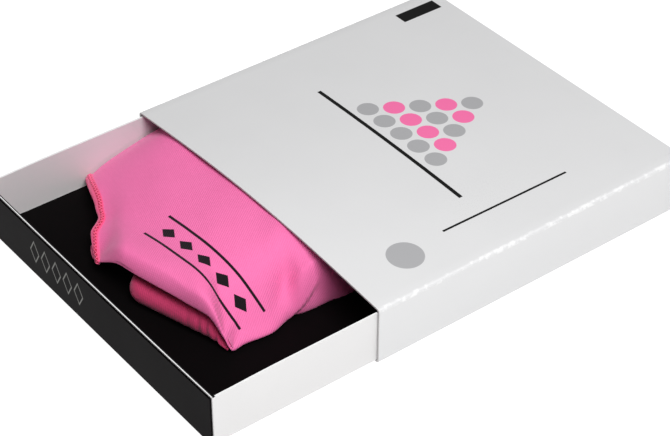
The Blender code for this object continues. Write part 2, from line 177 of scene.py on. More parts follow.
class Shader:
    """A material's nodes, all added in one way."""

    def __init__(self, name: str) -> None:
        """Starts a material with its Principled shader.

        Args:
            name: The material's name.
        """
        self.material = bpy.data.materials.new(name)
        self.material.use_nodes = True
        self.nodes = self.material.node_tree.nodes
        self.links = self.material.node_tree.links
        self.surface = self.nodes["Principled BSDF"]

    def node(self, kind: str, settings: dict[str, Any] | None = None,
             sockets: dict[str | int, Any] | None = None) -> bpy.types.Node:
        """Adds a node.

        Args:
            kind: The node's type.
            settings: The node's own settings, which are set first.
            sockets: The values or links of its input sockets.

        Returns:
            The node.
        """
        node = self.nodes.new(kind)
        for key, value in (settings or {}).items():
            setattr(node, key, value)
        for key, value in (sockets or {}).items():
            self.feed(node.inputs[key], value)
        return node

    def feed(self, target: Socket, value: Any) -> None:
        """Links or sets one input socket."""
        if isinstance(value, Amount):
            value = value.socket
        if isinstance(value, Socket):
            self.links.new(value, target)
        else:
            target.default_value = value

    def give(self, values: dict[str, Any]) -> None:
        """Links or sets the Principled shader's own sockets."""
        for name, value in values.items():
            self.feed(self.surface.inputs[name], value)

    def math(self, operation: str, *operands: Amount | float, clamp: bool = False) -> Amount:
        """Adds a Math node.

        Args:
            operation: Blender's name of the operation.
            operands: The operands, in order.
            clamp: Whether the result is held between 0 and 1.

        Returns:
            The result.
        """
        node = self.node("ShaderNodeMath", {"operation": operation, "use_clamp": clamp},
                         dict(enumerate(operands)))
        return Amount(self, node.outputs[0])

    def parts(self, vector: Socket) -> tuple[Amount, Amount, Amount]:
        """The three numbers of a vector."""
        outputs = self.node("ShaderNodeSeparateXYZ", sockets={0: vector}).outputs
        return Amount(self, outputs[0]), Amount(self, outputs[1]), Amount(self, outputs[2])

    def place(self) -> Socket:
        """The point's place on the object."""
        return self.node("ShaderNodeTexCoord").outputs["Object"]

    def cloth_place(self) -> Socket:
        """The point's place on the flat cloth."""
        return self.node("ShaderNodeUVMap", {"uv_map": "cloth"}).outputs["UV"]

    def grain(self, vector: Socket, size: float, detail: float = 2.0) -> Amount:
        """Cloudy noise from 0 to 1.

        Args:
            vector: The place that it reads.
            size: The size of a cloud in metres.
            detail: How much finer noise is in it.

        Returns:
            The noise.
        """
        node = self.node("ShaderNodeTexNoise",
                         sockets={"Vector": vector, "Scale": 1 / size, "Detail": detail})
        return Amount(self, node.outputs["Fac"])

    def blend(self, share: Amount | float, first: Any, second: Any) -> Socket:
        """Mixes two colours.

        Args:
            share: The share of the second colour.
            first: A colour or a link.
            second: A colour or a link.

        Returns:
            The mixed colour.
        """
        node = self.node("ShaderNodeMix", {"data_type": "RGBA"},
                         {"Factor": share, 6: first, 7: second})
        return node.outputs[2]

    def bump(self, height: Amount, depth: float, strength: float) -> Socket:
        """Adds a Bump node."""
        sockets = {"Height": height, "Distance": depth, "Strength": strength}
        return self.node("ShaderNodeBump", sockets=sockets).outputs["Normal"]

    def motif(self, kind: Motif, x: Amount, y: Amount, half: Pair, blur: float) -> Amount:
        """A plain printed shape, centred on the point where x and y are 0.

        Args:
            kind: The shape.
            x: The place along the shape.
            y: The place across it.
            half: Its half length and half width.
            blur: The softness of its edge in metres.

        Returns:
            The shape's mask.
        """
        if kind is Motif.DISC:
            return (x * x + y * y).math("SQRT").under(half[0], blur)
        if kind is Motif.BAR:
            return abs(x).under(half[0], blur).both(abs(y).under(half[1], blur))
        share = abs(x) / half[0] + abs(y) / half[1]
        return share.under(1.0, blur / half[1])


def rgba(red: float, green: float, blue: float) -> tuple[float, float, float, float]:
    """A solid colour."""
    return red, green, blue, 1.0


@dataclass(frozen=True)
class Print:
    """A plain shape printed on a card."""

    kind: Motif
    middle: Pair
    half: Pair

    def mask(self, shader: Shader, x: Amount, y: Amount, blur: float) -> Amount:
        """Where the print covers the card."""
        return shader.motif(self.kind, x - self.middle[0], y - self.middle[1], self.half, blur)


# ---- finishes


@dataclass(frozen=True)
class CardFinish:
    """A coated or bare card surface."""

    name: str
    colour: Colour
    roughness: float
    mottle: float = 0.02
    cloud: float = 30 * MM
    fibre: float = 0.5 * MM
    fibre_depth: float = 0.004 * MM
    specular: float = 0.5

    TONE_REACH: ClassVar[float] = 0.1
    ROUGH_CLOUDS: ClassVar[float] = 0.08
    ROUGH_FIBRES: ClassVar[float] = 0.06

    def start(self) -> tuple[Shader, Socket]:
        """The shader with its roughness and bump, and its base colour.

        Returns:
            The shader and its colour, for print to go over.
        """
        shader = Shader(self.name)
        place = shader.place()
        clouds = shader.grain(place, self.cloud, 3.0)
        fibres = shader.grain(place, self.fibre, 4.0)
        tone = (clouds - 0.5) * (2 * self.mottle) + (fibres - 0.5) * self.mottle
        dark = rgba(*(level * (1 - self.TONE_REACH) for level in self.colour))
        light = rgba(*(min(level * (1 + self.TONE_REACH), 1.0) for level in self.colour))
        colour = shader.blend(tone / (2 * self.TONE_REACH) + 0.5, dark, light)
        rough = (clouds - 0.5) * self.ROUGH_CLOUDS + (fibres - 0.5) * self.ROUGH_FIBRES
        shader.give({"Roughness": rough + self.roughness, "Specular IOR Level": self.specular,
                     "Normal": shader.bump(fibres, self.fibre_depth, 1.0)})
        return shader, colour

    def make(self) -> bpy.types.Material:
        """The finish with nothing printed on it.

        Returns:
            The material.
        """
        shader, colour = self.start()
        shader.give({"Base Color": colour})
        return shader.material


@dataclass(frozen=True)
class ClothFinish:
    """Stretch cloth with a fine slanting rib."""

    name: str
    colour: Colour
    shade: Colour
    rib: float = 0.85 * MM
    rib_turn: float = 35.0
    rib_depth: float = 0.16 * MM
    roughness: float = 0.82
    sheen: float = 0.35
    marked: bool = False
    # Where a painted shade line runs along a stitched groove, on the flat cloth's y; 0 for none.
    shaded_groove_at: float = 0.0

    WANDER: ClassVar[float] = 0.6 * MM
    WANDER_SIZE: ClassVar[float] = 18 * MM
    LOOP_PITCH: ClassVar[float] = 0.8
    FUZZ_SIZE: ClassVar[float] = 0.5 * MM
    CLOUD_SIZE: ClassVar[float] = 22 * MM
    SPECK_SIZE: ClassVar[float] = 1.8 * MM
    RIB_SHARE: ClassVar[float] = 0.65
    LOOP_SHARE: ClassVar[float] = 0.15
    FUZZ_SHARE: ClassVar[float] = 0.35
    WEAVE_MIDDLE: ClassVar[float] = 0.55
    TONE_CLOUDS: ClassVar[float] = 0.5
    TONE_SPECKS: ClassVar[float] = 0.45
    TONE_WEAVE: ClassVar[float] = 0.5
    SPECULAR: ClassVar[float] = 0.25
    SHEEN_ROUGHNESS: ClassVar[float] = 0.45
    BUMP_SHARE: ClassVar[float] = 0.8
    # The painted shade line of a stitched groove: its half width, blur, strength and colour.
    GROOVE_SHADE_HALF: ClassVar[float] = 0.62 * MM
    GROOVE_SHADE_BLUR: ClassVar[float] = 0.35 * MM
    GROOVE_SHADE_SHARE: ClassVar[float] = 0.85
    GROOVE_SHADE_COLOUR: ClassVar[Colour] = (0.45, 0.012, 0.045)
    INK: ClassVar[Colour] = (0.012, 0.008, 0.011)
    SHEEN_TINT: ClassVar[Colour] = (1.0, 0.72, 0.86)
    MARK_MIDDLE: ClassVar[Pair] = (14.5 * MM, -74.0 * MM)
    MARK_TURN: ClassVar[float] = 2.0
    MARK_PITCH: ClassVar[float] = 11.5 * MM
    MARK_COUNT: ClassVar[int] = 5
    MARK_BLUR: ClassVar[float] = 0.25 * MM
    GEM_HALF: ClassVar[Pair] = (4.2 * MM, 2.6 * MM)
    BAR_HALF: ClassVar[Pair] = (31 * MM, 0.55 * MM)
    BAR_OFFSET: ClassVar[float] = 6.0 * MM

    def make(self) -> bpy.types.Material:
        """The cloth's material.

        Returns:
            The material.
        """
        shader = Shader(self.name)
        flat = shader.cloth_place()
        x, y, _ = shader.parts(flat)
        turn = math.radians(self.rib_turn)
        wander = shader.grain(flat, self.WANDER_SIZE)
        slant = x * math.cos(turn) + y * math.sin(turn) + (wander - 0.5) * self.WANDER
        run = y * math.cos(turn) - x * math.sin(turn)
        ribs = (slant * (2 * math.pi / self.rib)).math("SINE") * 0.5 + 0.5
        loop_pitch = self.rib * self.LOOP_PITCH
        loop_run = run * (2 * math.pi / loop_pitch) + slant * (math.pi / self.rib)
        loops = loop_run.math("SINE") * 0.5 + 0.5
        fuzz = shader.grain(flat, self.FUZZ_SIZE, 3.0)
        clouds = shader.grain(flat, self.CLOUD_SIZE, 3.0)
        specks = shader.grain(flat, self.SPECK_SIZE)
        weave = ribs * self.RIB_SHARE + loops * self.LOOP_SHARE + fuzz * self.FUZZ_SHARE
        tone = (clouds - 0.5) * self.TONE_CLOUDS + (specks - 0.5) * self.TONE_SPECKS
        tone = tone + (weave - self.WEAVE_MIDDLE) * self.TONE_WEAVE
        tone = (tone + 0.5).math("MULTIPLY", 1.0, clamp=True)
        colour = shader.blend(tone, rgba(*self.shade), rgba(*self.colour))
        if self.marked:
            colour = shader.blend(self.mark(shader, x, y), colour, rgba(*self.INK))
        # Painted shade: a dark line along the groove that the stitches pull into the cloth, under
        # the thread.
        if self.shaded_groove_at:
            groove_shade = abs(y - self.shaded_groove_at).under(self.GROOVE_SHADE_HALF, self.GROOVE_SHADE_BLUR)
            colour = shader.blend(groove_shade * self.GROOVE_SHADE_SHARE, colour, rgba(*self.GROOVE_SHADE_COLOUR))
        shader.give({
            "Base Color": colour, "Roughness": (fuzz - 0.5) * 0.1 + self.roughness,
            "Sheen Weight": self.sheen, "Sheen Roughness": self.SHEEN_ROUGHNESS,
            "Sheen Tint": rgba(*self.SHEEN_TINT), "Specular IOR Level": self.SPECULAR,
            "Normal": shader.bump(weave, self.rib_depth, self.BUMP_SHARE)})
        return shader.material

    def mark(self, shader: Shader, x: Amount, y: Amount) -> Amount:
        """A row of five diamonds between two thin bars, printed on the cloth.

        Args:
            shader: The cloth's shader.
            x: The flat cloth's x.
            y: The flat cloth's y.

        Returns:
            The print's mask.
        """
        turn = math.radians(self.MARK_TURN)
        from_x = x - self.MARK_MIDDLE[0]
        from_y = y - self.MARK_MIDDLE[1]
        along = from_x * math.cos(turn) + from_y * math.sin(turn)
        across = from_y * math.cos(turn) - from_x * math.sin(turn)
        blur = self.MARK_BLUR
        cell = (along + self.MARK_PITCH / 2) % self.MARK_PITCH - self.MARK_PITCH / 2
        gems = shader.motif(Motif.DIAMOND, cell, across, self.GEM_HALF, blur)
        gems = gems.both(abs(along).under(self.MARK_COUNT / 2 * self.MARK_PITCH, blur))
        bars = shader.motif(Motif.BAR, along, abs(across) - self.BAR_OFFSET, self.BAR_HALF, blur)
        return gems.either(bars)


# ---- mesh helpers


def piece(bm: bmesh.types.BMesh, name: str, materials: Sequence[bpy.types.Material],
          stands_for: Sequence[str] = ()) -> bpy.types.Object:
    """Makes a finished object that rides on the box.

    Args:
        bm: The mesh, which is freed.
        name: The piece's name.
        materials: Its materials.
        stands_for: The solids that it is shown instead of.

    Returns:
        The object.
    """
    mesh = bpy.data.meshes.new(name)
    bm.to_mesh(mesh)
    bm.free()
    for material in materials:
        mesh.materials.append(material)
    mesh.shade_smooth()
    thing = bpy.data.objects.new(name, mesh)
    bpy.context.scene.collection.objects.link(thing)
    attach(thing, BODY)
    if stands_for:
        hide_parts(*stands_for)
    LOG.info("%s: %d faces", name, len(mesh.polygons))
    return thing


def thicken(thing: bpy.types.Object, wall: float, inside: CardSide = CardSide.FACE,
            rim: CardSide = CardSide.FACE) -> None:
    """Gives a skin its wall, inwards.

    Args:
        thing: The skin.
        wall: The wall's thickness.
        inside: The material slot of the inside.
        rim: The material slot of the cut edge.
    """
    solid = thing.modifiers.new("wall", "SOLIDIFY")
    solid.thickness = wall
    solid.offset = -1.0
    solid.use_even_offset = True
    solid.material_offset = inside.value
    solid.material_offset_rim = rim.value


def soften(thing: bpy.types.Object, width: float, segments: int = 2, angle: float = 40.0) -> None:
    """Rounds the sharp edges of a piece a little.

    Args:
        thing: The piece.
        width: The round's width.
        segments: The steps in it.
        angle: The least angle, in degrees, that is rounded.
    """
    bevel = thing.modifiers.new("round", "BEVEL")
    bevel.width = width
    bevel.segments = segments
    bevel.limit_method = "ANGLE"
    bevel.angle_limit = math.radians(angle)
    bevel.harden_normals = True


def box_mesh(low: Vector, high: Vector) -> bmesh.types.BMesh:
    """A box between two corners.

    Args:
        low: The lowest corner.
        high: The highest corner.

    Returns:
        The mesh.
    """
    bm = bmesh.new()
    stretch = Matrix.Diagonal((*(high - low), 1.0))
    bmesh.ops.create_cube(bm, size=1.0, matrix=Matrix.Translation((low + high) / 2) @ stretch)
    return bm


def fold_edges(bm: bmesh.types.BMesh, edges: Sequence[bmesh.types.BMEdge], round_off: float,
               segments: int) -> None:
    """Rounds the folds of a card."""
    bmesh.ops.bevel(bm, geom=edges, affect="EDGES", offset=round_off, offset_type="OFFSET",
                    segments=segments, profile=0.5, material=-1)


def cut_across(bm: bmesh.types.BMesh, axis: Vector, places: Iterable[float]) -> None:
    """Cuts a mesh into strips for bending.

    Args:
        bm: The mesh.
        axis: The direction across the cuts.
        places: How far along the axis each cut is.
    """
    for place in places:
        geometry = [*bm.verts, *bm.edges, *bm.faces]
        bmesh.ops.bisect_plane(bm, geom=geometry, dist=MERGE / 10, plane_co=axis * place,
                               plane_no=axis)


def drawn_grid(across: int, along: int,
               draw: Callable[[float, float], tuple[Vector, Vector]]) -> bmesh.types.BMesh:
    """A grid of cloth that is drawn into shape, with its flat place as its UV map.

    Args:
        across: The number of faces one way.
        along: The number of faces the other way.
        draw: Gives a point's place in space and on the flat cloth from its shares of the grid.

    Returns:
        The mesh, with meeting edges merged and its faces outward.
    """
    bm = bmesh.new()
    bmesh.ops.create_grid(bm, x_segments=across, y_segments=along, size=0.5)
    flat = bm.loops.layers.uv.new("cloth")
    spots = {}
    for vertex in bm.verts:
        spots[vertex] = draw(vertex.co.x + 0.5, vertex.co.y + 0.5)
    for face in bm.faces:
        for loop in face.loops:
            loop[flat].uv = spots[loop.vert][1]
    for vertex, (spot, _) in spots.items():
        vertex.co = spot
    bmesh.ops.remove_doubles(bm, verts=bm.verts, dist=MERGE)
    bmesh.ops.recalc_face_normals(bm, faces=bm.faces)
    return bm


# ---- the box


@dataclass
class Sleeve:
    """The outer sleeve: folded card with a bowed top, open at both ends."""

    low: Vector
    high: Vector
    flat_height: float = 26.1 * MM
    card: float = 0.8 * MM
    fold: float = 1.4 * MM
    bow: float = 4.3 * MM
    fullness: float = 1.25
    fade: float = 1.5

    CUTS: ClassVar[tuple[int, int]] = (20, 32)
    BLUR: ClassVar[float] = 0.2 * MM
    PINK: ClassVar[Colour] = (0.88, 0.20, 0.42)
    GREY: ClassVar[Colour] = (0.42, 0.42, 0.43)
    BLACK: ClassVar[Colour] = (0.012, 0.012, 0.012)
    CUE: ClassVar[Print] = Print(Motif.BAR, (1.0 * MM, 26 * MM), (46 * MM, 0.9 * MM))
    LABEL: ClassVar[Print] = Print(Motif.BAR, (-69.5 * MM, 100.3 * MM), (3.4 * MM, 10.5 * MM))
    RULE: ClassVar[Print] = Print(Motif.BAR, (59 * MM, 38.7 * MM), (0.5 * MM, 32 * MM))
    DOT: ClassVar[Print] = Print(Motif.DISC, (61.7 * MM, -14.1 * MM), (7.5 * MM, 7.5 * MM))
    RACK_FOOT: ClassVar[Pair] = (0.0, 34.0 * MM)
    RACK_PITCH: ClassVar[float] = 11.0 * MM
    RACK_DISC: ClassVar[Pair] = (4.6 * MM, 4.6 * MM)
    RACK_ROWS: ClassVar[int] = 5
    TOP_FROM: ClassVar[float] = 20 * MM
    # Lighter specks along the top folds: partly rubbed wear of the coating, partly a painted
    # highlight of the rounded folds.
    FOLD_WEAR_AND_GLINT_FROM: ClassVar[Pair] = (78.6 * MM, 24.6 * MM)
    FOLD_WEAR_AND_GLINT_BLUR: ClassVar[float] = 0.6 * MM
    FOLD_WEAR_AND_GLINT_COLOUR: ClassVar[Colour] = (0.90, 0.90, 0.90)
    SCUFF_AND_GLINT_SIZE: ClassVar[float] = 3 * MM
    SCUFF_AND_GLINT_FROM: ClassVar[float] = 0.56
    SCUFF_AND_GLINT_BLUR: ClassVar[float] = 0.1
    SCUFF_AND_GLINT_SHARE: ClassVar[float] = 0.5
    # Painted shade: the sleeve's side walls are darkened a little against its top, for how the
    # light falls on them.
    SIDE_FROM: ClassVar[float] = 79.6 * MM
    SIDE_PAINTED_SHADE: ClassVar[float] = 0.09
    SIDE_PAINTED_SHADE_COLOUR: ClassVar[Colour] = (0.10, 0.10, 0.10)

    def build(self) -> bpy.types.Object:
        """Folds the sleeve.

        Returns:
            The sleeve.
        """
        bm = box_mesh(self.low, Vector((self.high.x, self.high.y, self.flat_height)))
        ends = [face for face in bm.faces if abs(face.normal.y) > 0.5]
        bmesh.ops.delete(bm, geom=ends, context="FACES_ONLY")
        folds = [edge for edge in bm.edges
                 if abs((edge.verts[0].co - edge.verts[1].co).normalized().y) > 0.5]
        fold_edges(bm, folds, self.fold, 5)
        half = self.high.x - self.fold
        wide, deep = self.CUTS
        cut_across(bm, ACROSS, (half * i / wide for i in range(1 - wide, wide)))
        length = self.high.y - self.low.y
        cut_across(bm, ALONG, (self.low.y + length * i / deep for i in range(1, deep)))
        for vertex in bm.verts:
            if vertex.co.z > self.flat_height / 2:
                gone = (vertex.co.y - self.low.y) / length
                side = min(abs(vertex.co.x) / self.high.x, 1.0)
                rise = self.bow * (1 - gone) ** self.fade
                vertex.co.z += rise * (1 - side**2) ** self.fullness
        bmesh.ops.recalc_face_normals(bm, faces=bm.faces)
        thing = piece(bm, "sleeve_card", [self.dress(), self.inside()], ["sleeve"])
        thicken(thing, self.card, CardSide.RAW, CardSide.RAW)
        soften(thing, 0.12 * MM, 1, 60.0)
        return thing

    def inside(self) -> bpy.types.Material:
        """The bare inside and cut edges of the card."""
        return CardFinish("bare_board", (0.50, 0.49, 0.49), 0.85, mottle=0.05,
                          fibre_depth=0.02 * MM).make()

    def dress(self) -> bpy.types.Material:
        """The coated outside, with plain shapes printed on the top, lighter specks along the top
        folds that are partly rubbed wear and partly a painted highlight, and painted shade on the
        sides.

        Returns:
            The material.
        """
        shader, colour = CardFinish("coated_white", (0.70, 0.70, 0.705), 0.40, specular=0.3).start()
        place = shader.place()
        x, y, z = shader.parts(place)
        on_top = (0.0 - z).under(-self.TOP_FROM, 1 * MM)
        for odd, ink in ((True, self.PINK), (False, self.GREY)):
            colour = shader.blend(self.rack(shader, x, y, odd).both(on_top), colour, rgba(*ink))
        for shape, ink in ((self.CUE, self.BLACK), (self.LABEL, self.BLACK),
                           (self.RULE, self.BLACK), (self.DOT, self.GREY)):
            mask = shape.mask(shader, x, y, self.BLUR).both(on_top)
            colour = shader.blend(mask, colour, rgba(*ink))
        # Lighter specks along the top folds, partly rubbed wear and partly a painted highlight.
        fold_wear_and_glint = (0.0 - abs(x)).under(-self.FOLD_WEAR_AND_GLINT_FROM[0], self.FOLD_WEAR_AND_GLINT_BLUR)
        fold_wear_and_glint = fold_wear_and_glint.both((0.0 - z).under(-self.FOLD_WEAR_AND_GLINT_FROM[1], self.FOLD_WEAR_AND_GLINT_BLUR))
        specks = shader.grain(place, self.SCUFF_AND_GLINT_SIZE, 4.0)
        scuff_and_glint = fold_wear_and_glint.both((0.0 - specks).under(-self.SCUFF_AND_GLINT_FROM, self.SCUFF_AND_GLINT_BLUR))
        colour = shader.blend(scuff_and_glint * self.SCUFF_AND_GLINT_SHARE, colour, rgba(*self.FOLD_WEAR_AND_GLINT_COLOUR))
        # Painted shade: beyond the top's edges, across the box, the side walls are darkened a
        # little.
        side = (0.0 - abs(x)).under(-self.SIDE_FROM, self.BLUR)
        colour = shader.blend(side * self.SIDE_PAINTED_SHADE, colour, rgba(*self.SIDE_PAINTED_SHADE_COLOUR))
        shader.give({"Base Color": colour})
        return shader.material

    def rack(self, shader: Shader, x: Amount, y: Amount, odd: bool) -> Amount:
        """A triangle of discs.

        Args:
            shader: The card's shader.
            x: The place across the box.
            y: The place along the box.
            odd: Whether the mask is of the odd rows or of the even rows.

        Returns:
            The mask.
        """
        rise = self.RACK_PITCH * math.sqrt(3) / 2
        along = y - (self.RACK_FOOT[1] - rise / 2)
        row = (along / rise).math("FLOOR")
        offset = x - self.RACK_FOOT[0] + (row + 1.0) * (self.RACK_PITCH / 2)
        cell = offset % self.RACK_PITCH - self.RACK_PITCH / 2
        rest = along - row * rise - rise / 2
        disc = shader.motif(Motif.DISC, cell, rest, self.RACK_DISC, self.BLUR)
        reach = abs(x - self.RACK_FOOT[0]) + (row - (self.RACK_ROWS - 0.5)) * (self.RACK_PITCH / 2)
        inside = reach.under(self.RACK_PITCH / 4, self.BLUR)
        rows = abs(row - (self.RACK_ROWS - 1) / 2).under(self.RACK_ROWS / 2, 0.1)
        chosen = abs(row % 2.0 - float(odd)).under(0.5, 0.1)
        return disc.both(inside).both(rows).both(chosen)


@dataclass
class Tray:
    """The tray that slides in the sleeve, with its black front and its floor card."""

    low: Vector
    high: Vector
    card: float = 0.9 * MM
    slump_all: float = 0.8 * MM
    slump_front: float = 0.5 * MM
    slump_middle: float = 0.7 * MM
    slump_run: float = 30.0 * MM

    CUTS: ClassVar[tuple[int, int]] = (8, 6)
    CORNER: ClassVar[float] = 0.5 * MM
    EDGE_BLUR: ClassVar[float] = 0.1 * MM
    EDGE_LINED: ClassVar[Pair] = (0.5, 1.6)
    EDGE_BLACK: ClassVar[Colour] = (0.01, 0.009, 0.01)
    PRINT_BLUR: ClassVar[float] = 0.2 * MM
    PRINT_GREY: ClassVar[Colour] = (0.24, 0.24, 0.23)
    GEM_OUTER: ClassVar[Pair] = (3.4 * MM, 5.6 * MM)
    GEM_INNER: ClassVar[Pair] = (2.7 * MM, 4.5 * MM)
    GEM_PITCH: ClassVar[float] = 8.0 * MM
    GEM_COUNT: ClassVar[int] = 5
    GEM_MIDDLE: ClassVar[float] = -25.0 * MM

    def slump(self, x: float, y: float) -> float:
        """How far the walls' top edge has sunk, most in the middle of the front.

        Args:
            x: The place across the box.
            y: The place along it.

        Returns:
            The drop.
        """
        near = Ramp(self.low.y, self.slump_run).down(y)
        middle = self.slump_middle * (1 - (x / self.high.x) ** 2)
        return self.slump_all + near * (self.slump_front + middle)

    def sink(self, bm: bmesh.types.BMesh, top: float, front: bool) -> None:
        """Lets the top edge of a card sink.

        Args:
            bm: The card's mesh.
            top: The height of its top edge.
            front: Whether all of it sinks as the front of the tray does.
        """
        for vertex in bm.verts:
            if vertex.co.z > top - MERGE:
                vertex.co.z -= self.slump(vertex.co.x, self.low.y if front else vertex.co.y)

    def cuts_across(self, half: float) -> list[float]:
        """The places of the cuts across a card of a half width."""
        wide = self.CUTS[0]
        return [half * i / wide for i in range(1 - wide, wide)]

    def build(self) -> bpy.types.Object:
        """Folds the tray.

        Returns:
            The tray.
        """
        bm = box_mesh(self.low, self.high)
        lids = [face for face in bm.faces if face.normal.z > 0.5]
        bmesh.ops.delete(bm, geom=lids, context="FACES_ONLY")
        corners = [edge for edge in bm.edges if not edge.is_boundary]
        fold_edges(bm, corners, self.CORNER, 3)
        deep = self.CUTS[1]
        cut_across(bm, ACROSS, self.cuts_across(self.high.x))
        cut_across(bm, ALONG, (self.low.y + self.slump_run * i / deep for i in range(1, deep + 1)))
        self.sink(bm, self.high.z, False)
        bmesh.ops.recalc_face_normals(bm, faces=bm.faces)
        white = CardFinish("tray_white", (0.69, 0.683, 0.683), 0.45, specular=0.3).make()
        thing = piece(bm, "tray_card_shell", [white, self.edge()], ["tray"])
        thicken(thing, self.card, rim=CardSide.RAW)
        soften(thing, 0.15 * MM, 2, 60.0)
        return thing

    def edge(self) -> bpy.types.Material:
        """The card's cut edge, lined with black on the inner half of the front wall.

        Returns:
            The material.
        """
        shader, colour = CardFinish("tray_edge", (0.80, 0.80, 0.80), 0.7, mottle=0.05).start()
        _, y, _ = shader.parts(shader.place())
        start, end = (self.low.y + self.card * share for share in self.EDGE_LINED)
        lined = (0.0 - y).under(-start, self.EDGE_BLUR).both(y.under(end, self.EDGE_BLUR))
        shader.give({"Base Color": shader.blend(lined, colour, rgba(*self.EDGE_BLACK))})
        return shader.material

    def build_panel(self, low: Vector, high: Vector) -> bpy.types.Object:
        """The satin black card on the front wall.

        Args:
            low: Its lowest corner.
            high: Its highest corner.

        Returns:
            The panel.
        """
        bm = box_mesh(low, high)
        cut_across(bm, ACROSS, self.cuts_across(high.x))
        self.sink(bm, high.z, True)
        black = CardFinish("satin_black", (0.0035, 0.0022, 0.0028), 0.45, mottle=0.1, specular=0.04)
        shader, colour = black.start()
        x, _, z = shader.parts(shader.place())
        blur, pitch = self.PRINT_BLUR, self.GEM_PITCH
        rise = z - (low.z + high.z) / 2
        along = x - self.GEM_MIDDLE
        cell = (along + pitch / 2) % pitch - pitch / 2
        outer, inner = (shader.motif(Motif.DIAMOND, cell, rise, half, blur)
                        for half in (self.GEM_OUTER, self.GEM_INNER))
        row = abs(along).under(self.GEM_COUNT / 2 * pitch, blur)
        ring = outer.both(1.0 - inner).both(row)
        shader.give({"Base Color": shader.blend(ring, colour, rgba(*self.PRINT_GREY))})
        thing = piece(bm, "front_panel_card", [shader.material], ["front_panel"])
        soften(thing, 0.2 * MM, 3)
        return thing

    def build_floor(self, low: Vector, high: Vector) -> bpy.types.Object:
        """The matt black card on the tray's floor.

        Args:
            low: Its lowest corner.
            high: Its highest corner.

        Returns:
            The floor card.
        """
        black = CardFinish("matt_black", (0.0048, 0.0038, 0.0041), 0.7, mottle=0.2, specular=0.08)
        bm = box_mesh(low, high)
        thing = piece(bm, "floor_sheet", [black.make()], ["floor_card"])
        soften(thing, 0.08 * MM, 2)
        return thing


# ---- the glove


